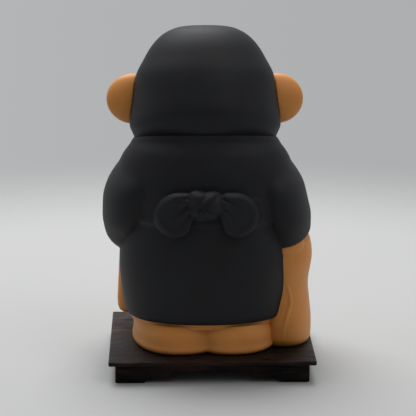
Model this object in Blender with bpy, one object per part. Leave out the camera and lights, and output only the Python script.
"""Figural coin bank: a stout robed figure with a dog, hollow for coins, on a low wooden display stand.

The figure faces -Y and its back is at +Y. The origin is under the middle of the whole object, on the ground.
"""

import math
from collections import namedtuple

import bmesh
import bpy
from mathutils import Matrix, Vector

# Stand
STAND_WIDTH = 0.0950
STAND_DEPTH = 0.0870
STAND_HEIGHT = 0.0108
STAND_SHIFT = -0.0017
BOARD_THICKNESS = 0.0020
BOARD_EDGE_ROUND = 0.0004
APRON_INSET = 0.0030
APRON_THICKNESS = 0.0045
FOOT_LENGTH = 0.0130
FOOT_SLOPE = 0.0018
SHELF_LENGTH = 0.0112
SHELF_RISE = 0.0024
ARCH_RISE = 0.0056
GLUE_BLOCK_LEG = 0.0075
GLUE_BLOCK_HEIGHT = 0.0050

# Coins, walls and fits
COIN_DIAMETER = 0.0265
COIN_PLAY = 0.0040
SLOT_WIDTH = 0.0050
SHELL_WALL = 0.0030
CLEARANCE = 0.0003
FIGURE_SHIFT = 0.0008

# Legs and sandals
LEG_SPREAD = 0.0121
LEG_HALF_WIDTH = 0.0226
LEG_HALF_DEPTH = 0.0362
LEG_BACK_SHIFT = -0.0004
SOLE_HEIGHT = 0.0036
SOLE_GROOVE = 0.0007
SOLE_ROUND = 0.0024
LEG_TAPER = 0.0030
LEG_FLOOR = 0.0060
LEG_SPIGOT_HEIGHT = 0.0070
LEG_HOLLOW_HALF_WIDTH = 0.0270
LEG_HOLLOW_HALF_DEPTH = 0.0250
LEG_SQUARENESS = 2.3

# Coin outlet and its stopper
STOPPER_FLANGE_OVERLAP = 0.0025
STOPPER_FLANGE_THICKNESS = 0.0016
STOPPER_RECESS_DEPTH = 0.0024
STOPPER_TAPER = 0.0012

# Robe
NECK_HEIGHT = 0.0957
SHOULDER_DROP = 0.0083
CHEST_DROP = 0.0167
WAIST_SHARE = 0.669
SKIRT_SHARE = 0.4075
SHOULDER_HEIGHT = NECK_HEIGHT - SHOULDER_DROP
CHEST_HEIGHT = NECK_HEIGHT - CHEST_DROP
WAIST_HEIGHT = WAIST_SHARE * NECK_HEIGHT
SKIRT_HEIGHT = SKIRT_SHARE * NECK_HEIGHT
HEM_HEIGHT = 0.0141
HEM_ROUND = 0.0034
SKIRT_HALF_WIDTH = 0.0404
SKIRT_HALF_DEPTH = 0.0380
HEM_HALF_WIDTH = 0.0386
HEM_HALF_DEPTH = 0.0368
WAIST_HALF_WIDTH = 0.0374
WAIST_HALF_DEPTH = 0.0362
CHEST_HALF_WIDTH = 0.0412
CHEST_HALF_DEPTH = 0.0346
SHOULDER_HALF_WIDTH = 0.0390
SHOULDER_HALF_DEPTH = 0.0322
NECK_HALF_WIDTH = 0.0334
NECK_HALF_DEPTH = 0.0284
NECK_TILT = math.radians(12.0)
COLLAR_ROUND = 0.0009
SASH_BELOW_WAIST = 0.0028
SASH_BAND_WIDTH = 0.0104
SASH_LOW = WAIST_HEIGHT - SASH_BELOW_WAIST
SASH_RELIEF = 0.0008
COLLAR_BAND_HALF_WIDTH = 0.0032
COLLAR_BAND_RELIEF = 0.0010
COLLAR_FRONT = math.radians(-90.0)
COLLAR_SPREAD = math.radians(50.0)
COLLAR_CROSSING = math.radians(12.0)

# Sleeves and hands
SLEEVE_OUT = 0.0486
SLEEVE_DROP = 0.0274
SLEEVE_HEIGHT = SHOULDER_HEIGHT - SLEEVE_DROP
SLEEVE_HALF_WIDTH = 0.0146
SLEEVE_HALF_DEPTH = 0.0262
ELBOW_DROP = 0.0160
RIGHT_CUFF_DROP = 0.0085
RIGHT_SLEEVE_DROP = 0.0230
CUFF_POCKET_DEPTH = 0.0050
WRIST_RADIUS = 0.0050
WRIST_LENGTH = 0.0020
PALM_OUT = 0.0365
PALM_BACK = 0.0145
PALM_HALF_WIDTH = 0.0086
PALM_HALF_DEPTH = 0.0085
RIGHT_CUFF_OUT = 0.0420
RIGHT_CUFF_BACK = 0.0070
RIGHT_CUFF_HEIGHT = SLEEVE_HEIGHT - RIGHT_CUFF_DROP
RIGHT_CUFF_LEAN = math.radians(11.0)
LEFT_CUFF_FORWARD = 0.0264
FIST_DROP = 0.0015
FIST_HEIGHT = SLEEVE_HEIGHT - FIST_DROP
HAND_LENGTH = 0.0119
FIST_RADIUS = 0.0086

# Sash bow
BOW_HEIGHT = SASH_LOW + SASH_BAND_WIDTH
BOW_LOOP_OUT = 0.0147
BOW_LOOP_DROP = 0.0040
BOW_LOOP_HALF_WIDTH = 0.0093
BOW_LOOP_HALF_HEIGHT = 0.0106
BOW_LOOP_HALF_THICKNESS = 0.0046
KNOT_HALF_WIDTH = 0.0086
KNOT_HALF_HEIGHT = 0.0074
KNOT_HALF_THICKNESS = 0.0056

# Head, in the tilted frame of the neck
HEAD_HEIGHT = 0.0515
JAW_HEIGHT = 0.204 * HEAD_HEIGHT
JAW_HALF_WIDTH = 0.0352
TEMPLE_HEIGHT = 0.553 * HEAD_HEIGHT
TEMPLE_HALF_WIDTH = 0.0318
CROWN_HEIGHT = 0.883 * HEAD_HEIGHT
CROWN_HALF_WIDTH = 0.0223
CROWN_FLAT_HALF_WIDTH = 0.0138
CROWN_ROUND = 0.0007
HEAD_DEPTH_SHARE = 0.92
HAIR_THICKNESS = 0.0005
HAIRLINE_BACK = -0.0020
FOREHEAD_HEIGHT = 0.748 * HEAD_HEIGHT
SIDELOCK_FORWARD = 0.0060
TEMPLE_FORWARD = 0.0160
EAR_HEIGHT = 0.355 * HEAD_HEIGHT
EAR_HALF_HEIGHT = 0.0118
EAR_REACH = 0.0129
EAR_HALF_THICKNESS = 0.0052
NOSE_HEIGHT = 0.291 * HEAD_HEIGHT
NOSE_RADIUS = 0.0042

# Neck ring
NECK_RING_WALL = 0.0030
NECK_FLANGE_OVERLAP = 0.0025
NECK_FLANGE_THICKNESS = 0.0015

# Sheathed sword at the left hip
SWORD_OUT = 0.0349
SWORD_FORWARD = 0.0340
SWORD_TILT = math.radians(4.0)
SWORD_LEAN = math.radians(3.0)
SCABBARD_LENGTH = 0.0640
SCABBARD_ABOVE_FIST = 0.0086
SCABBARD_HALF_WIDTH = 0.0050
SCABBARD_HALF_DEPTH = 0.0040
GUARD_RADIUS = 0.0068
GUARD_THICKNESS = 0.0018
HILT_LENGTH = 0.0105
HILT_SHARE = 0.78

# Dog
DOG_OUT = 0.0365
DOG_BACK_SHIFT = 0.0018
DOG_HALF_WIDTH = 0.0134
DOG_HALF_DEPTH = 0.0212
DOG_NECK_HEIGHT = 0.0265
DOG_HEIGHT = 0.0525
DOG_HEAD_OUT = 0.0400
DOG_HEAD_FORWARD = 0.0235
DOG_HEAD_RADIUS = 0.0100
DOG_MUZZLE_LENGTH = 0.0120
DOG_MUZZLE_RADIUS = 0.0056
DOG_EAR_HEIGHT = 0.0054
DOG_PAW_LENGTH = 0.0062
DOG_TAIL_RADIUS = 0.0014
DOG_TAIL_SWAY = 0.0018

# Smoothness of the round forms
BIG_SEGMENTS = 32
SMALL_SEGMENTS = 16
SPAN_STEPS = 3
BODY_SQUARENESS = 2.5
BAND_SQUARENESS = 4.0
BAND_SEGMENTS = 8
BAND_STEPS = 12
SKIN_STEP_ANGLE = math.radians(2.0)
ROUND = 2.0

Station = namedtuple("Station", "height half_width half_depth tilt")
SleeveStation = namedtuple("SleeveStation", "height out half_width half_depth")

X_AXIS = Vector((1.0, 0.0, 0.0))
Y_AXIS = Vector((0.0, 1.0, 0.0))
Z_AXIS = Vector((0.0, 0.0, 1.0))


def remove_everything():
    """Start from an empty scene."""
    for item in list(bpy.data.objects):
        bpy.data.objects.remove(item, do_unlink=True)


def finish(name, colour, roughness):
    """One Principled finish."""
    material = bpy.data.materials.new(name)
    material.use_nodes = True
    shader = material.node_tree.nodes["Principled BSDF"]
    shader.inputs["Base Color"].default_value = (*colour, 1.0)
    shader.inputs["Roughness"].default_value = roughness
    shader.inputs["Metallic"].default_value = 0.0
    material.diffuse_color = (*colour, 1.0)
    return material


def object_from(name, bm):
    """Turn an edit mesh into an object of the scene, with its faces pointing out."""
    bmesh.ops.recalc_face_normals(bm, faces=bm.faces)
    mesh = bpy.data.meshes.new(name)
    bm.to_mesh(mesh)
    bm.free()
    item = bpy.data.objects.new(name, mesh)
    bpy.context.scene.collection.objects.link(item)
    return item


def boolean(target, tool, operation):
    """Unite, cut or intersect the target with a tool, and take the tool away."""
    modifier = target.modifiers.new(operation, "BOOLEAN")
    modifier.operation = operation
    modifier.object = tool
    bpy.context.view_layer.update()
    evaluated = target.evaluated_get(bpy.context.evaluated_depsgraph_get())
    mesh = bpy.data.meshes.new_from_object(evaluated)
    target.modifiers.clear()
    target.data = mesh
    bpy.data.objects.remove(tool, do_unlink=True)


def grown_copy(item, distance):
    """A copy whose surface lies the given distance outside the original."""
    bm = bmesh.new()
    bm.from_mesh(item.data)
    bm.normal_update()
    moves = [(vertex, vertex.normal * distance) for vertex in bm.verts]
    for vertex, move in moves:
        vertex.co += move
    return object_from(item.name + "_room", bm)


def ring(centre, across, along, squareness, count):
    """Points of a superellipse about a centre, spanned by two half axes."""
    power = 2.0 / squareness
    points = []
    for index in range(count):
        angle = math.tau * index / count
        cosine, sine = math.cos(angle), math.sin(angle)
        reach_across = math.copysign(abs(cosine) ** power, cosine)
        reach_along = math.copysign(abs(sine) ** power, sine)
        points.append(centre + across * reach_across + along * reach_along)
    return points


def loft(name, rings):
    """A closed skin through successive rings, capped at both ends."""
    bm = bmesh.new()
    loops = [[bm.verts.new(point) for point in points] for points in rings]
    count = len(loops[0])
    for low, high in zip(loops, loops[1:]):
        for index in range(count):
            after = (index + 1) % count
            bm.faces.new((low[index], low[after], high[after], high[index]))
    bm.faces.new(reversed(loops[0]))
    bm.faces.new(loops[-1])
    return object_from(name, bm)


def turned_ring(name, profile, segments):
    """A ring turned about Z from a closed profile of (radius, height) points."""
    bm = bmesh.new()
    columns = []
    for index in range(segments):
        angle = math.tau * index / segments
        columns.append([
            bm.verts.new((radius * math.cos(angle), radius * math.sin(angle), height))
            for radius, height in profile
        ])
    for index, column in enumerate(columns):
        following = columns[(index + 1) % segments]
        for step in range(len(profile)):
            after = (step + 1) % len(profile)
            bm.faces.new((column[step], following[step], following[after], column[after]))
    return object_from(name, bm)


def turned_solid(name, profile, segments):
    """A solid turned about Z from (radius, height) points, from its bottom to its top."""
    rings = [
        ring(Z_AXIS * height, X_AXIS * radius, Y_AXIS * radius, ROUND, segments)
        for radius, height in profile
    ]
    return loft(name, rings)


def ellipsoid(name, centre, half_sizes, segments):
    """A stretched ball."""
    bm = bmesh.new()
    bmesh.ops.create_uvsphere(bm, u_segments=segments, v_segments=segments // 2, radius=1.0)
    bmesh.ops.scale(bm, vec=half_sizes, verts=bm.verts)
    bmesh.ops.translate(bm, vec=centre, verts=bm.verts)
    return object_from(name, bm)


def prism(name, outline, half_length):
    """An outline of (depth, height) points, extruded both ways along X."""
    bm = bmesh.new()
    face = bm.faces.new([bm.verts.new((-half_length, depth, height)) for depth, height in outline])
    extruded = bmesh.ops.extrude_face_region(bm, geom=[face])["geom"]
    moved = [part for part in extruded if isinstance(part, bmesh.types.BMVert)]
    bmesh.ops.translate(bm, vec=X_AXIS * 2.0 * half_length, verts=moved)
    return object_from(name, bm)


def slope(span_before, rise_before, span_after, rise_after):
    """Slope of a curve that never overshoots its stations."""
    if rise_before * rise_after <= 0.0:
        return 0.0
    weight_before = 2.0 * span_after + span_before
    weight_after = span_after + 2.0 * span_before
    return (weight_before + weight_after) / (weight_before / rise_before + weight_after / rise_after)


def smooth_column(heights, values, height):
    """Value at one height on a smooth curve through the stations."""
    last = len(heights) - 1
    index = 0
    while index < last - 1 and height > heights[index + 1]:
        index += 1
    spans = [after - before for before, after in zip(heights, heights[1:])]
    rises = [(after - before) / span for before, after, span in zip(values, values[1:], spans)]
    slopes = [rises[0]]
    for place in range(1, last):
        slopes.append(slope(spans[place - 1], rises[place - 1], spans[place], rises[place]))
    slopes.append(rises[-1])
    span = spans[index]
    t = (height - heights[index]) / span
    start = (1.0 + 2.0 * t) * (1.0 - t) ** 2 * values[index]
    end = t * t * (3.0 - 2.0 * t) * values[index + 1]
    leave = t * (1.0 - t) ** 2 * span * slopes[index]
    arrive = t * t * (t - 1.0) * span * slopes[index + 1]
    return start + end + leave + arrive


def smooth_station(stations, height):
    """The station that a smooth body has at one height."""
    columns = list(zip(*stations))
    values = [smooth_column(columns[0], column, height) for column in columns[1:]]
    return type(stations[0])(height, *values)


def station_heights(stations):
    """Heights of the stations, with even steps between them."""
    heights = []
    for low, high in zip(stations, stations[1:]):
        for step in range(SPAN_STEPS):
            heights.append(low.height + (high.height - low.height) * step / SPAN_STEPS)
    return heights + [stations[-1].height]


def body_ring(station, grow, squareness, count):
    """A level or tilted ring of a body that stands on the figure's axis."""
    along = Vector((0.0, math.cos(station.tilt), math.sin(station.tilt)))
    return ring(
        Z_AXIS * station.height,
        X_AXIS * (station.half_width + grow),
        along * (station.half_depth + grow),
        squareness,
        count,
    )


def robe_stations():
    """The robe's outline from the hem to the neck seam."""
    return [
        Station(HEM_HEIGHT, HEM_HALF_WIDTH - HEM_ROUND, HEM_HALF_DEPTH - HEM_ROUND, 0.0),
        Station(
            HEM_HEIGHT + 0.3 * HEM_ROUND,
            HEM_HALF_WIDTH - 0.3 * HEM_ROUND,
            HEM_HALF_DEPTH - 0.3 * HEM_ROUND,
            0.0,
        ),
        Station(HEM_HEIGHT + 1.4 * HEM_ROUND, HEM_HALF_WIDTH, HEM_HALF_DEPTH, 0.0),
        Station(SKIRT_HEIGHT, SKIRT_HALF_WIDTH, SKIRT_HALF_DEPTH, 0.0),
        Station(WAIST_HEIGHT, WAIST_HALF_WIDTH, WAIST_HALF_DEPTH, 0.0),
        Station(CHEST_HEIGHT, CHEST_HALF_WIDTH, CHEST_HALF_DEPTH, 0.3 * NECK_TILT),
        Station(SHOULDER_HEIGHT, SHOULDER_HALF_WIDTH, SHOULDER_HALF_DEPTH, 0.7 * NECK_TILT),
        Station(NECK_HEIGHT - COLLAR_ROUND, NECK_HALF_WIDTH, NECK_HALF_DEPTH, NECK_TILT),
        Station(NECK_HEIGHT, NECK_HALF_WIDTH - COLLAR_ROUND, NECK_HALF_DEPTH - COLLAR_ROUND, NECK_TILT),
    ]


def robe_station(height):
    """The robe's ring at one height, with the raised sash."""
    station = smooth_station(robe_stations(), height)
    inside_sash = SASH_LOW <= height <= SASH_LOW + SASH_BAND_WIDTH
    relief = SASH_RELIEF if inside_sash else 0.0
    return station._replace(half_width=station.half_width + relief, half_depth=station.half_depth + relief)


def robe_point(angle, height):
    """A point on the robe's skin, at an angle from +X round to the back."""
    station = robe_station(height)
    power = 2.0 / BODY_SQUARENESS
    across = math.copysign(abs(math.cos(angle)) ** power, math.cos(angle)) * station.half_width
    along = math.copysign(abs(math.sin(angle)) ** power, math.sin(angle)) * station.half_depth
    return Vector((across, along * math.cos(station.tilt), height + along * math.sin(station.tilt)))


def robe_normal(angle, height):
    """The direction straight out of the robe's skin."""
    turn = robe_point(angle + SKIN_STEP_ANGLE, height) - robe_point(angle - SKIN_STEP_ANGLE, height)
    rise = robe_point(angle, height + CLEARANCE) - robe_point(angle, height - CLEARANCE)
    return turn.cross(rise).normalized()


def torso():
    """The robe without its sleeves."""
    sash_top = SASH_LOW + SASH_BAND_WIDTH
    sash_edges = [SASH_LOW - CLEARANCE, SASH_LOW, sash_top, sash_top + CLEARANCE]
    kept = [
        height for height in station_heights(robe_stations())
        if min(abs(height - edge) for edge in sash_edges) > 2.0 * CLEARANCE
    ]
    heights = sorted(kept + sash_edges)
    return loft("robe_shell", [body_ring(robe_station(h), 0.0, BODY_SQUARENESS, BIG_SEGMENTS) for h in heights])


def sleeve_stations(is_left):
    """A wide sleeve from inside the shoulder down, ending in a rounded elbow or below the height of the cuff."""
    width, depth = SLEEVE_HALF_WIDTH, SLEEVE_HALF_DEPTH
    middle = 0.5 * (SHOULDER_HEIGHT + SLEEVE_HEIGHT)
    upper = [
        SleeveStation(SHOULDER_HEIGHT, SHOULDER_HALF_WIDTH - 0.10 * width, 0.75 * width, 0.66 * depth),
        SleeveStation(CHEST_HEIGHT, CHEST_HALF_WIDTH + 0.20 * width, 0.96 * width, 0.94 * depth),
        SleeveStation(middle, SLEEVE_OUT - 0.13 * width, width, depth),
        SleeveStation(SLEEVE_HEIGHT, SLEEVE_OUT, 0.95 * width, 0.92 * depth),
    ]
    if is_left:
        lower = [
            SleeveStation(SLEEVE_HEIGHT - 0.47 * ELBOW_DROP, SLEEVE_OUT - 0.10 * width, 0.82 * width, 0.70 * depth),
            SleeveStation(SLEEVE_HEIGHT - 0.81 * ELBOW_DROP, SLEEVE_OUT - 0.40 * width, 0.60 * width, 0.48 * depth),
            SleeveStation(SLEEVE_HEIGHT - ELBOW_DROP, SLEEVE_OUT - 0.80 * width, 0.35 * width, 0.28 * depth),
        ]
    else:
        lower = [
            SleeveStation(SLEEVE_HEIGHT - 0.5 * RIGHT_SLEEVE_DROP, SLEEVE_OUT, 0.92 * width, 0.86 * depth),
            SleeveStation(SLEEVE_HEIGHT - RIGHT_SLEEVE_DROP, SLEEVE_OUT - 0.06 * width, 0.84 * width, 0.80 * depth),
        ]
    return list(reversed(upper + lower))


def sleeve(is_left):
    """One sleeve, as a stack of level rings."""
    side = 1.0 if is_left else -1.0
    stations = sleeve_stations(is_left)
    rings = []
    for height in station_heights(stations):
        station = smooth_station(stations, height)
        centre = Vector((side * (station.out - station.half_width), 0.0, station.height))
        rings.append(ring(
            centre, X_AXIS * side * station.half_width, Y_AXIS * station.half_depth, ROUND, SMALL_SEGMENTS))
    return loft("sleeve", rings)


def right_cuff_frame():
    """Place of the right cuff: its Z axis leaves the sleeve, down and a little forward."""
    leaves = Vector((0.0, -math.sin(RIGHT_CUFF_LEAN), -math.cos(RIGHT_CUFF_LEAN)))
    turn = Z_AXIS.rotation_difference(leaves).to_matrix().to_4x4()
    return Matrix.Translation((-RIGHT_CUFF_OUT, RIGHT_CUFF_BACK, RIGHT_CUFF_HEIGHT)) @ turn


def left_cuff_frame():
    """Place of the left cuff: its Z axis leaves the sleeve straight forward."""
    turn = Z_AXIS.rotation_difference(-Y_AXIS).to_matrix().to_4x4()
    return Matrix.Translation((SWORD_OUT, -LEFT_CUFF_FORWARD, FIST_HEIGHT)) @ turn


def cuff_pocket(frame):
    """The socket in a sleeve that takes a wrist."""
    radius = WRIST_RADIUS + CLEARANCE
    pocket = turned_solid("cuff_pocket", [(radius, -CUFF_POCKET_DEPTH), (radius, WRIST_LENGTH)], SMALL_SEGMENTS)
    pocket.data.transform(frame)
    return pocket


def robe_round_hand(robe, frame):
    """The robe with room to spare, apart from the socket, which a hand keeps out of."""
    room = grown_copy(robe, CLEARANCE)
    boolean(room, cuff_pocket(frame), "DIFFERENCE")
    return room


def right_sleeve():
    """The sleeve over the dog, cut off at its cuff."""
    piece = sleeve(False)
    size = 2.0 * SLEEVE_OUT
    beyond = turned_solid("beyond_cuff", [(size, 0.0), (size, size)], SMALL_SEGMENTS)
    beyond.data.transform(right_cuff_frame())
    boolean(piece, beyond, "DIFFERENCE")
    return piece


def left_forearm():
    """The bent forearm of the left sleeve, from the elbow to the cuff."""
    radius = WRIST_RADIUS + 1.5 * SHELL_WALL
    length = LEFT_CUFF_FORWARD - 0.2 * SLEEVE_HALF_DEPTH
    piece = turned_solid("forearm", [(radius, -length), (radius, 0.0)], SMALL_SEGMENTS)
    piece.data.transform(left_cuff_frame())
    return piece


def collar_band(side, end_angle):
    """A flat raised band that lies on the chest, from the side of the neck down to the sash."""
    start_angle = COLLAR_FRONT + side * COLLAR_SPREAD
    top = NECK_HEIGHT - COLLAR_BAND_HALF_WIDTH
    low = SASH_LOW + SASH_BAND_WIDTH - CLEARANCE
    half_thickness = 0.5 * SHELL_WALL
    skin = []
    for step in range(BAND_STEPS + 1):
        share = step / BAND_STEPS
        angle = start_angle + (end_angle - start_angle) * share
        height = top + (low - top) * share
        skin.append((robe_point(angle, height), robe_normal(angle, height)))
    rings = []
    for index, (place, outward) in enumerate(skin):
        before = skin[max(index - 1, 0)][0]
        after = skin[min(index + 1, BAND_STEPS)][0]
        across = (after - before).cross(outward).normalized()
        rings.append(ring(
            place + outward * (COLLAR_BAND_RELIEF - half_thickness),
            across * COLLAR_BAND_HALF_WIDTH,
            outward * half_thickness,
            BAND_SQUARENESS,
            BAND_SEGMENTS,
        ))
    return loft("collar_band", rings)


def robe_inside(shrink, low, name):
    """The room inside the robe, from a given height up to the deck under the neck seam."""
    wall_low = HEM_HEIGHT + 1.4 * HEM_ROUND
    ceiling = NECK_HEIGHT - shrink / math.cos(NECK_TILT)
    hem = smooth_station(robe_stations(), wall_low)
    stations = [hem._replace(height=low)]
    for height in (wall_low, SKIRT_HEIGHT, WAIST_HEIGHT, CHEST_HEIGHT, SHOULDER_HEIGHT):
        stations.append(smooth_station(robe_stations(), height))
    stations.append(smooth_station(robe_stations(), ceiling)._replace(tilt=NECK_TILT))
    return loft(name, [body_ring(station, -shrink, BODY_SQUARENESS, BIG_SEGMENTS) for station in stations])


def neck_frame():
    """Place of the neck: its Z axis is the axis that the head turns on."""
    return Matrix.Translation(Z_AXIS * NECK_HEIGHT) @ Matrix.Rotation(NECK_TILT, 4, "X")


def robe_form():
    """The body moulding as a full form, with both sleeves, the sash and the crossed collar."""
    robe = torso()
    boolean(robe, sleeve(True), "UNION")
    boolean(robe, left_forearm(), "UNION")
    boolean(robe, right_sleeve(), "UNION")
    boolean(robe, collar_band(-1.0, COLLAR_FRONT + COLLAR_CROSSING), "UNION")
    boolean(robe, collar_band(1.0, COLLAR_FRONT - 1.5 * COLLAR_CROSSING), "UNION")
    reach = 2.0 * SLEEVE_OUT
    above_neck = turned_solid("above_neck", [(reach, 0.0), (reach, NECK_HALF_WIDTH)], BIG_SEGMENTS)
    above_neck.data.transform(neck_frame())
    boolean(robe, above_neck, "DIFFERENCE")
    return robe


def hollow_robe(robe):
    """Cut the coin chamber, the neck opening and the sockets of both hands."""
    boolean(robe, robe_inside(SHELL_WALL, HEM_HEIGHT - SHELL_WALL, "coin_chamber"), "DIFFERENCE")
    opening = neck_ring_radius() + CLEARANCE
    neck_hole = turned_solid("neck_hole", [(opening, -2.0 * SHELL_WALL), (opening, SHELL_WALL)], BIG_SEGMENTS)
    neck_hole.data.transform(neck_frame())
    boolean(robe, neck_hole, "DIFFERENCE")
    boolean(robe, cuff_pocket(left_cuff_frame()), "DIFFERENCE")
    boolean(robe, cuff_pocket(right_cuff_frame()), "DIFFERENCE")


def coin_way_radius():
    """Radius of a round way that lets every coin through."""
    return 0.5 * (COIN_DIAMETER + COIN_PLAY)


def neck_ring_radius():
    """Outer radius of the neck ring's tube."""
    return coin_way_radius() + NECK_RING_WALL


def neck_ring():
    """The hollow plug between head and body: a tube with a flange at each end."""
    bore = coin_way_radius()
    tube = neck_ring_radius()
    flange = tube + NECK_FLANGE_OVERLAP
    low = -SHELL_WALL - CLEARANCE
    high = 2.0 * CLEARANCE + SHELL_WALL
    profile = [
        (bore, low - NECK_FLANGE_THICKNESS),
        (flange, low - NECK_FLANGE_THICKNESS),
        (flange, low),
        (tube, low),
        (tube, high),
        (flange, high),
        (flange, high + NECK_FLANGE_THICKNESS),
        (bore, high + NECK_FLANGE_THICKNESS),
    ]
    return turned_ring("neck_ring", profile, BIG_SEGMENTS)


def head_station(height, half_width):
    """A ring of the head, a little shallower than wide."""
    return Station(height, half_width, HEAD_DEPTH_SHARE * half_width, 0.0)


def head_stations():
    """The head's outline from the neck seam to the flat crown."""
    crown_round = 0.25 * CROWN_FLAT_HALF_WIDTH
    return [
        Station(CLEARANCE, NECK_HALF_WIDTH - COLLAR_ROUND, NECK_HALF_DEPTH - COLLAR_ROUND, 0.0),
        Station(CLEARANCE + COLLAR_ROUND, NECK_HALF_WIDTH, NECK_HALF_DEPTH, 0.0),
        head_station(JAW_HEIGHT, JAW_HALF_WIDTH),
        head_station(TEMPLE_HEIGHT, TEMPLE_HALF_WIDTH),
        head_station(CROWN_HEIGHT, CROWN_HALF_WIDTH),
        head_station(HEAD_HEIGHT - CROWN_ROUND, CROWN_FLAT_HALF_WIDTH),
        head_station(HEAD_HEIGHT, CROWN_FLAT_HALF_WIDTH - crown_round),
    ]


def head_solid(name, grow):
    """The whole head, without its hollow."""
    stations = head_stations()
    heights = station_heights(stations)
    return loft(name, [body_ring(smooth_station(stations, h), grow, ROUND, BIG_SEGMENTS) for h in heights])


def head_inside():
    """The room inside the head, above its bottom deck."""
    stations = head_stations()
    deck = CLEARANCE + SHELL_WALL
    ceiling = HEAD_HEIGHT - SHELL_WALL
    heights = [deck, JAW_HEIGHT, TEMPLE_HEIGHT, 0.5 * (TEMPLE_HEIGHT + CROWN_HEIGHT), CROWN_HEIGHT, ceiling]
    rings = [body_ring(smooth_station(stations, h), -SHELL_WALL, ROUND, BIG_SEGMENTS) for h in heights]
    return loft("head_room", rings)


def hair_region(offset):
    """All that lies behind and above the hairline, reaching an offset further towards the face."""
    far = 2.0 * HEAD_HEIGHT
    ear_top = EAR_HEIGHT + EAR_HALF_HEIGHT
    hairline = [
        (HAIRLINE_BACK, -far),
        (HAIRLINE_BACK, 0.93 * ear_top),
        (HAIRLINE_BACK - SIDELOCK_FORWARD, 1.07 * ear_top),
        (HAIRLINE_BACK - TEMPLE_FORWARD, 0.5 * (1.07 * ear_top + FOREHEAD_HEIGHT)),
        (-far, FOREHEAD_HEIGHT),
    ]
    outline = [(depth - offset, height - offset) for depth, height in hairline]
    return prism("hair_region", outline + [(-far, far), (far, far), (far, -far)], far)


def neck_socket():
    """The hole in the head's deck that sits round the neck ring."""
    radius = neck_ring_radius() + CLEARANCE
    return turned_solid("neck_socket", [(radius, -SHELL_WALL), (radius, 2.0 * SHELL_WALL)], BIG_SEGMENTS)


def coin_slot():
    """The plumb cut through the crown that coins are dropped into."""
    half_length = 0.5 * (COIN_DIAMETER + COIN_PLAY)
    half_width = 0.5 * SLOT_WIDTH
    reach = 3.0 * SHELL_WALL
    across = X_AXIS * half_length
    along = Y_AXIS * half_width
    rings = [ring(Z_AXIS * height, across, along, 8.0, SMALL_SEGMENTS + 2) for height in (-reach, reach)]
    slot = loft("coin_slot", rings)
    plumb = Matrix.Rotation(-NECK_TILT, 4, "X")
    slot.data.transform(Matrix.Translation(Z_AXIS * HEAD_HEIGHT) @ plumb)
    return slot


def hair_shell():
    """The back and crown of the head, with the coin slot."""
    hair = head_solid("hair_shell", 0.0)
    boolean(hair, head_inside(), "DIFFERENCE")
    boolean(hair, neck_socket(), "DIFFERENCE")
    boolean(hair, hair_region(0.0), "INTERSECT")
    boolean(hair, coin_slot(), "DIFFERENCE")
    return hair


def ear(side, hair):
    """A large round ear, dished in front, that grows out of the side of the head."""
    out = JAW_HALF_WIDTH - HAIR_THICKNESS - SHELL_WALL * 0.5
    back = HAIRLINE_BACK - 0.5 * EAR_HALF_THICKNESS
    centre = (side * out, back, EAR_HEIGHT)
    half_sizes = (EAR_REACH, EAR_HALF_THICKNESS, EAR_HALF_HEIGHT)
    piece = ellipsoid("ear", centre, half_sizes, SMALL_SEGMENTS)
    dish_centre = (side * (out + 0.45 * EAR_REACH), back - 1.1 * EAR_HALF_THICKNESS, EAR_HEIGHT)
    dish = ellipsoid("ear_dish", dish_centre, [0.6 * size for size in half_sizes], SMALL_SEGMENTS)
    boolean(piece, dish, "DIFFERENCE")
    boolean(piece, grown_copy(hair, 1.5 * CLEARANCE), "DIFFERENCE")
    return piece


def face_shell(hair):
    """The front of the head with both ears and the nose."""
    face = head_solid("face_shell", -HAIR_THICKNESS)
    boolean(face, hair_region(CLEARANCE), "DIFFERENCE")
    nose_depth = -HEAD_DEPTH_SHARE * smooth_station(head_stations(), NOSE_HEIGHT).half_width
    nose = ellipsoid("nose", (0.0, nose_depth, NOSE_HEIGHT), [NOSE_RADIUS] * 3, SMALL_SEGMENTS)
    boolean(face, nose, "UNION")
    for side in (-1.0, 1.0):
        boolean(face, ear(side, hair), "UNION")
    boolean(face, head_inside(), "DIFFERENCE")
    boolean(face, neck_socket(), "DIFFERENCE")
    return face


def leg(side):
    """One stout leg on a rounded sandal sole, carried on as a spigot into the robe."""
    spigot_top = HEM_HEIGHT + LEG_SPIGOT_HEIGHT
    outline = [
        (0.0, SOLE_ROUND),
        (0.35 * SOLE_HEIGHT, 0.0),
        (0.75 * SOLE_HEIGHT, 0.0),
        (SOLE_HEIGHT, SOLE_GROOVE),
        (1.25 * SOLE_HEIGHT, SOLE_GROOVE),
        (0.5 * HEM_HEIGHT, 0.7 * SOLE_GROOVE),
        (HEM_HEIGHT, LEG_TAPER),
        (spigot_top, LEG_TAPER),
    ]
    rings = []
    for height, inset in outline:
        centre = Vector((side * LEG_SPREAD, LEG_BACK_SHIFT, height))
        rings.append(ring(
            centre,
            X_AXIS * (LEG_HALF_WIDTH - inset),
            Y_AXIS * (LEG_HALF_DEPTH - inset),
            LEG_SQUARENESS,
            BIG_SEGMENTS,
        ))
    return loft("leg_base", rings)


def robe_wall_zone():
    """The hem's wall with room to spare, which the legs keep out of."""
    top = HEM_HEIGHT + 2.0 * LEG_SPIGOT_HEIGHT
    low = HEM_HEIGHT - CLEARANCE
    reach = 2.0 * SKIRT_HALF_WIDTH
    zone = turned_solid("wall_zone", [(reach, low), (reach, top)], BIG_SEGMENTS)
    boolean(zone, robe_inside(SHELL_WALL + CLEARANCE, low - SHELL_WALL, "hem_room"), "DIFFERENCE")
    return zone


def stopper_flange_radius():
    """Radius of the stopper's flange, which covers the outlet's edge."""
    return coin_way_radius() + STOPPER_FLANGE_OVERLAP


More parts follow.
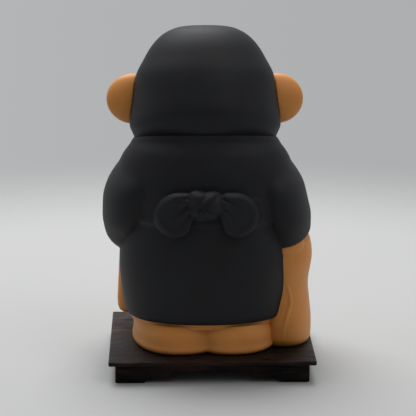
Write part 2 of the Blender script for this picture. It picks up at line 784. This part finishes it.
def leg_form():
    """Both legs in one full form, with the spigot that fits inside the hem."""
    base = leg(1.0)
    boolean(base, leg(-1.0), "UNION")
    boolean(base, robe_wall_zone(), "DIFFERENCE")
    return base


def hollow_legs(base):
    """Cut the bowl that closes the coin chamber, and the outlet in its floor."""
    top = HEM_HEIGHT + 2.0 * LEG_SPIGOT_HEIGHT
    across = X_AXIS * LEG_HOLLOW_HALF_WIDTH
    along = Y_AXIS * LEG_HOLLOW_HALF_DEPTH
    rings = [ring(Z_AXIS * height, across, along, LEG_SQUARENESS, BIG_SEGMENTS) for height in (LEG_FLOOR, top)]
    boolean(base, loft("leg_room", rings), "DIFFERENCE")
    outlet = coin_way_radius()
    recess = stopper_flange_radius() + CLEARANCE
    way_out = turned_solid(
        "outlet",
        [
            (recess, -STOPPER_RECESS_DEPTH),
            (recess, STOPPER_RECESS_DEPTH),
            (outlet, STOPPER_RECESS_DEPTH),
            (outlet, 2.0 * LEG_FLOOR),
        ],
        BIG_SEGMENTS,
    )
    boolean(base, way_out, "DIFFERENCE")


def coin_stopper():
    """The rubber plug: a flange in the recess and a tapered body in the outlet."""
    flange = stopper_flange_radius()
    flange_top = STOPPER_RECESS_DEPTH - CLEARANCE
    body = coin_way_radius() - CLEARANCE
    top = LEG_FLOOR + STOPPER_TAPER
    profile = [
        (flange, flange_top - STOPPER_FLANGE_THICKNESS),
        (flange, flange_top),
        (body, flange_top),
        (body, LEG_FLOOR),
        (body - STOPPER_TAPER, top),
    ]
    return turned_solid("coin_stopper", profile, BIG_SEGMENTS)


def right_wrist(grow):
    """The round wrist that sits in the right cuff."""
    radius = WRIST_RADIUS + grow
    wrist = turned_solid(
        "right_wrist", [(radius, CLEARANCE - CUFF_POCKET_DEPTH), (radius, 0.5 * WRIST_LENGTH)], SMALL_SEGMENTS)
    wrist.data.transform(right_cuff_frame())
    return wrist


def right_palm(grow):
    """The rounded back of the hand that lies on the dog's nape."""
    centre = (-PALM_OUT, PALM_BACK, RIGHT_CUFF_HEIGHT - WRIST_LENGTH)
    half_sizes = [size + grow for size in (PALM_HALF_WIDTH, PALM_HALF_DEPTH, HAND_LENGTH - WRIST_LENGTH)]
    return ellipsoid("hand_right", centre, half_sizes, SMALL_SEGMENTS)


def hand_right():
    """The right hand: a wrist in the cuff, and a palm cut back to clear the sleeve and the skirt."""
    hand = right_palm(0.0)
    reach = 2.0 * SLEEVE_OUT
    below = turned_solid("below_cuff", [(reach, CLEARANCE), (reach, reach)], SMALL_SEGMENTS)
    below.data.transform(right_cuff_frame())
    boolean(hand, below, "INTERSECT")
    boolean(hand, robe_inside(-CLEARANCE, HEM_HEIGHT, "skirt_room"), "DIFFERENCE")
    boolean(hand, right_wrist(0.0), "UNION")
    return hand


def sword_frame():
    """Place of the sword at the fist: its Z axis runs up through guard and hilt."""
    turn = Matrix.Rotation(-SWORD_LEAN, 4, "Y") @ Matrix.Rotation(SWORD_TILT, 4, "X")
    return Matrix.Translation((SWORD_OUT, -SWORD_FORWARD, FIST_HEIGHT)) @ turn


def sword_rings(outline, share):
    """Oval rings of the sword, from (scale, height) points."""
    rings = []
    for scale, height in outline:
        across = X_AXIS * SCABBARD_HALF_WIDTH * scale * share
        along = Y_AXIS * SCABBARD_HALF_DEPTH * scale * share
        rings.append(ring(Z_AXIS * height, across, along, ROUND, SMALL_SEGMENTS))
    return rings


def scabbard():
    """The round-ended sheath that hangs from the left fist."""
    low = SCABBARD_ABOVE_FIST - SCABBARD_LENGTH
    outline = [
        (0.35, low),
        (0.72, low + 0.22 * SCABBARD_HALF_WIDTH),
        (0.93, low + 0.70 * SCABBARD_HALF_WIDTH),
        (1.0, low + 1.4 * SCABBARD_HALF_WIDTH),
        (1.0, SCABBARD_ABOVE_FIST),
    ]
    sheath = loft("scabbard", sword_rings(outline, 1.0))
    sheath.data.transform(sword_frame())
    return sheath


def sword_guard():
    """The flat round guard between sheath and hilt."""
    low = SCABBARD_ABOVE_FIST + CLEARANCE
    edge = 0.25 * GUARD_THICKNESS
    profile = [
        (GUARD_RADIUS - edge, low),
        (GUARD_RADIUS, low + edge),
        (GUARD_RADIUS, low + GUARD_THICKNESS - edge),
        (GUARD_RADIUS - edge, low + GUARD_THICKNESS),
    ]
    guard = turned_solid("sword_guard", profile, SMALL_SEGMENTS)
    guard.data.transform(sword_frame())
    return guard


def sword_hilt():
    """The waisted hilt with a rounded pommel."""
    low = SCABBARD_ABOVE_FIST + GUARD_THICKNESS + 2.0 * CLEARANCE
    outline = [
        (1.0, low),
        (0.88, low + 0.45 * HILT_LENGTH),
        (1.0, low + 0.88 * HILT_LENGTH),
        (0.85, low + 0.96 * HILT_LENGTH),
        (0.45, low + HILT_LENGTH),
    ]
    hilt = loft("sword_hilt", sword_rings(outline, HILT_SHARE))
    hilt.data.transform(sword_frame())
    return hilt


def hand_left(sheath, robe):
    """The fist round the scabbard, on a wrist in the left cuff."""
    centre = Vector((SWORD_OUT, -SWORD_FORWARD, FIST_HEIGHT))
    fist = ellipsoid("hand_left", centre, (FIST_RADIUS, FIST_RADIUS, 0.82 * FIST_RADIUS), SMALL_SEGMENTS)
    reach = SWORD_FORWARD - LEFT_CUFF_FORWARD
    wrist = turned_solid(
        "wrist", [(WRIST_RADIUS, CLEARANCE - CUFF_POCKET_DEPTH), (WRIST_RADIUS, reach)], SMALL_SEGMENTS)
    wrist.data.transform(left_cuff_frame())
    boolean(fist, wrist, "UNION")
    boolean(fist, robe_round_hand(robe, left_cuff_frame()), "DIFFERENCE")
    boolean(fist, grown_copy(sheath, CLEARANCE), "DIFFERENCE")
    return fist


def bow_loop(side):
    """One padded loop of the bow, drooping away from the knot."""
    centre = (side * BOW_LOOP_OUT, bow_depth(), BOW_HEIGHT - BOW_LOOP_DROP)
    half_sizes = (BOW_LOOP_HALF_WIDTH, BOW_LOOP_HALF_THICKNESS, BOW_LOOP_HALF_HEIGHT)
    return ellipsoid("sash_bow", centre, half_sizes, SMALL_SEGMENTS + 4)


def bow_depth():
    """How far back the bow's middle lies, on the skin of the sash."""
    return robe_station(SASH_LOW + 0.5 * SASH_BAND_WIDTH).half_depth


def sash_bow(robe):
    """The bow on the back of the sash: two loops and a knot, hollowed to sit on the robe."""
    bow = bow_loop(1.0)
    boolean(bow, bow_loop(-1.0), "UNION")
    knot = ellipsoid(
        "knot",
        (0.0, bow_depth(), BOW_HEIGHT),
        (KNOT_HALF_WIDTH, KNOT_HALF_THICKNESS, KNOT_HALF_HEIGHT),
        SMALL_SEGMENTS,
    )
    boolean(bow, knot, "UNION")
    boolean(bow, grown_copy(robe, CLEARANCE), "DIFFERENCE")
    return bow


def dog_stations():
    """The seated dog's body and nape, from the ground to the top of its head."""
    nape = 0.5 * (DOG_NECK_HEIGHT + DOG_HEIGHT)
    return [
        Station(0.0, 0.85 * DOG_HALF_WIDTH, 0.88 * DOG_HALF_DEPTH, 0.0),
        Station(0.11 * DOG_NECK_HEIGHT, DOG_HALF_WIDTH, DOG_HALF_DEPTH, 0.0),
        Station(0.5 * DOG_NECK_HEIGHT, DOG_HALF_WIDTH, DOG_HALF_DEPTH, 0.0),
        Station(DOG_NECK_HEIGHT, 0.89 * DOG_HALF_WIDTH, 0.96 * DOG_HALF_DEPTH, 0.0),
        Station(nape, 1.02 * DOG_HALF_WIDTH, 0.93 * DOG_HALF_DEPTH, 0.0),
        Station(0.93 * DOG_HEIGHT, 0.94 * DOG_HALF_WIDTH, 0.75 * DOG_HALF_DEPTH, 0.0),
        Station(DOG_HEIGHT, 0.70 * DOG_HALF_WIDTH, 0.45 * DOG_HALF_DEPTH, 0.0),
    ]


def dog_body():
    """The dog's body and nape as a stack of level rings."""
    centre = Vector((-DOG_OUT, DOG_BACK_SHIFT, 0.0))
    stations = dog_stations()
    rings = []
    for height in station_heights(stations)[::2]:
        level = body_ring(smooth_station(stations, height), 0.0, 2.2, SMALL_SEGMENTS + 2)
        rings.append([point + centre for point in level])
    return loft("dog", rings)


def dog(robe, legs):
    """The dog that sits against the figure's right side."""
    animal = dog_body()
    head_middle = DOG_HEIGHT - DOG_HEAD_RADIUS
    head_place = Vector((-DOG_HEAD_OUT, -DOG_HEAD_FORWARD, head_middle))
    skull_sizes = (DOG_HEAD_RADIUS, 1.1 * DOG_HEAD_RADIUS, DOG_HEAD_RADIUS)
    boolean(animal, ellipsoid("skull", head_place, skull_sizes, SMALL_SEGMENTS), "UNION")
    muzzle_place = head_place - Y_AXIS * DOG_HEAD_RADIUS - Z_AXIS * 0.25 * DOG_HEAD_RADIUS
    muzzle_sizes = (DOG_MUZZLE_RADIUS, 0.5 * DOG_MUZZLE_LENGTH, 0.85 * DOG_MUZZLE_RADIUS)
    boolean(animal, ellipsoid("muzzle", muzzle_place, muzzle_sizes, 12), "UNION")
    paw_forward = 0.92 * DOG_HALF_DEPTH - DOG_BACK_SHIFT
    for side in (-1.0, 1.0):
        ear_place = head_place + X_AXIS * side * 0.62 * DOG_HEAD_RADIUS + Z_AXIS * 0.82 * DOG_HEAD_RADIUS
        ear_sizes = (0.5 * DOG_EAR_HEIGHT, 0.4 * DOG_EAR_HEIGHT, DOG_EAR_HEIGHT)
        boolean(animal, ellipsoid("dog_ear", ear_place, ear_sizes, 12), "UNION")
        paw_place = (-DOG_HEAD_OUT + side * 0.5 * DOG_HEAD_RADIUS, -paw_forward, 0.5 * DOG_PAW_LENGTH)
        paw_sizes = (0.75 * DOG_PAW_LENGTH, DOG_PAW_LENGTH, 0.5 * DOG_PAW_LENGTH)
        boolean(animal, ellipsoid("paw", paw_place, paw_sizes, 12), "UNION")
    boolean(animal, dog_tail(), "UNION")
    for neighbour in (robe, legs):
        boolean(animal, grown_copy(neighbour, 1.5 * CLEARANCE), "DIFFERENCE")
    for neighbour in (right_palm, right_wrist):
        boolean(animal, neighbour(1.5 * CLEARANCE), "DIFFERENCE")
    return animal


def dog_tail():
    """The thin raised ridge down the dog's back."""
    rings = []
    for share in (0.11, 0.34, 0.57, 0.79, 1.0):
        height = share * DOG_NECK_HEIGHT
        sway = DOG_TAIL_SWAY * math.sin(share * math.pi)
        depth = DOG_BACK_SHIFT + smooth_station(dog_stations(), height).half_depth
        centre = Vector((-DOG_OUT - sway, depth, height))
        rings.append(ring(centre, X_AXIS * DOG_TAIL_RADIUS, Y_AXIS * DOG_TAIL_RADIUS, ROUND, 8))
    return loft("dog_tail", rings)


def stand_board():
    """The thin top board, with its edges just rounded."""
    bm = bmesh.new()
    bmesh.ops.create_cube(bm, size=1.0)
    bmesh.ops.scale(bm, vec=(STAND_WIDTH, STAND_DEPTH, BOARD_THICKNESS), verts=bm.verts)
    bmesh.ops.translate(bm, vec=(0.0, 0.0, STAND_HEIGHT - 0.5 * BOARD_THICKNESS), verts=bm.verts)
    bmesh.ops.bevel(bm, geom=bm.edges, offset=BOARD_EDGE_ROUND, segments=2, profile=0.5, affect="EDGES")
    return object_from("stand_board", bm)


def stand_apron(name, side_length, side_distance, turn):
    """One rail under the board with a bracket foot at each end, mitred to its neighbours."""
    half = 0.5 * side_length - APRON_INSET - CLEARANCE / math.sqrt(2.0)
    top = STAND_HEIGHT - BOARD_THICKNESS - CLEARANCE
    shelf_start = half - FOOT_LENGTH - FOOT_SLOPE
    arch_start = shelf_start - SHELF_LENGTH
    right_half = [
        (arch_start, ARCH_RISE),
        (arch_start, SHELF_RISE),
        (shelf_start, SHELF_RISE),
        (half - FOOT_LENGTH, 0.0),
        (half, 0.0),
        (half, top),
    ]
    outline = right_half + [(-along, height) for along, height in reversed(right_half)]
    bm = bmesh.new()
    front = [bm.verts.new((along, 0.0, height)) for along, height in outline]
    back = []
    for along, height in outline:
        mitre = APRON_THICKNESS if abs(along) == half else 0.0
        back.append(bm.verts.new((math.copysign(abs(along) - mitre, along), APRON_THICKNESS, height)))
    bm.faces.new(front)
    bm.faces.new(reversed(back))
    for index in range(len(outline)):
        after = (index + 1) % len(outline)
        bm.faces.new((front[index], back[index], back[after], front[after]))
    apron = object_from(name, bm)
    outward = Matrix.Translation((0.0, APRON_INSET - 0.5 * side_distance, 0.0))
    apron.data.transform(Matrix.Rotation(turn, 4, "Z") @ outward)
    return apron


def glue_block(name, side_x, side_y):
    """A three-cornered block glued into an inner corner, under the board."""
    inner = APRON_INSET + APRON_THICKNESS + CLEARANCE
    corner = Vector((side_x * (0.5 * STAND_WIDTH - inner), side_y * (0.5 * STAND_DEPTH - inner), 0.0))
    top = STAND_HEIGHT - BOARD_THICKNESS - CLEARANCE
    triangle = [
        corner,
        corner - X_AXIS * side_x * GLUE_BLOCK_LEG,
        corner - Y_AXIS * side_y * GLUE_BLOCK_LEG,
    ]
    rings = [[point + Z_AXIS * height for point in triangle] for height in (top - GLUE_BLOCK_HEIGHT, top)]
    return loft(name, rings)


def pivot(name, place, parent=None, tilt=0.0):
    """An empty on the axis of a moving body."""
    empty = bpy.data.objects.new(name, None)
    empty.location = place
    empty.rotation_euler = (tilt, 0.0, 0.0)
    empty.parent = parent
    bpy.context.scene.collection.objects.link(empty)
    return empty


def dress(item, material, parent, sharp_degrees=40.0):
    """Give a piece its finish, its place and its shading."""
    item.data.materials.clear()
    item.data.materials.append(material)
    item.data.shade_smooth()
    item.data.set_sharp_from_angle(angle=math.radians(sharp_degrees))
    item.parent = parent


def build_stand():
    """The wooden stand."""
    lacquer = finish("black_lacquered_wood", (0.010, 0.008, 0.007), 0.30)
    stand = pivot("stand_place", (STAND_SHIFT, 0.0, 0.0))
    pieces = [
        stand_board(),
        stand_apron("stand_apron_front", STAND_WIDTH, STAND_DEPTH, 0.0),
        stand_apron("stand_apron_back", STAND_WIDTH, STAND_DEPTH, math.pi),
        stand_apron("stand_apron_left", STAND_DEPTH, STAND_WIDTH, 0.5 * math.pi),
        stand_apron("stand_apron_right", STAND_DEPTH, STAND_WIDTH, -0.5 * math.pi),
    ]
    for piece in pieces:
        dress(piece, lacquer, stand)
    raw_wood = finish("pale_softwood", (0.42, 0.27, 0.14), 0.70)
    corners = [(1.0, 1.0), (-1.0, 1.0), (-1.0, -1.0), (1.0, -1.0)]
    for number, (side_x, side_y) in enumerate(corners, start=1):
        dress(glue_block(f"glue_block_{number}", side_x, side_y), raw_wood, stand)


def build_figure():
    """The hollow figure with its head, dog and stopper."""
    dark = finish("charcoal_vinyl", (0.022, 0.022, 0.024), 0.62)
    flesh = finish("tan_vinyl", (0.36, 0.17, 0.065), 0.60)
    rubber = finish("pale_rubber", (0.55, 0.53, 0.50), 0.75)
    figure = pivot("figure_place", (FIGURE_SHIFT, 0.0, STAND_HEIGHT + CLEARANCE))
    head = pivot("head_pivot", (0.0, 0.0, NECK_HEIGHT), figure, NECK_TILT)
    outlet = pivot("stopper_pull", (0.0, 0.0, 0.0), figure)

    robe = robe_form()
    legs = leg_form()
    right = hand_right()
    sheath = scabbard()
    hair = hair_shell()
    dress(sash_bow(robe), dark, figure)
    dress(dog(robe, legs), flesh, figure)
    dress(hand_left(sheath, robe), flesh, figure)
    hollow_robe(robe)
    hollow_legs(legs)
    for piece in (legs, right, sheath, sword_guard(), sword_hilt()):
        dress(piece, flesh, figure)
    dress(robe, dark, figure)
    dress(face_shell(hair), flesh, head)
    dress(hair, dark, head)
    dress(neck_ring(), flesh, head)
    dress(coin_stopper(), rubber, outlet)


remove_everything()
build_stand()
build_figure()
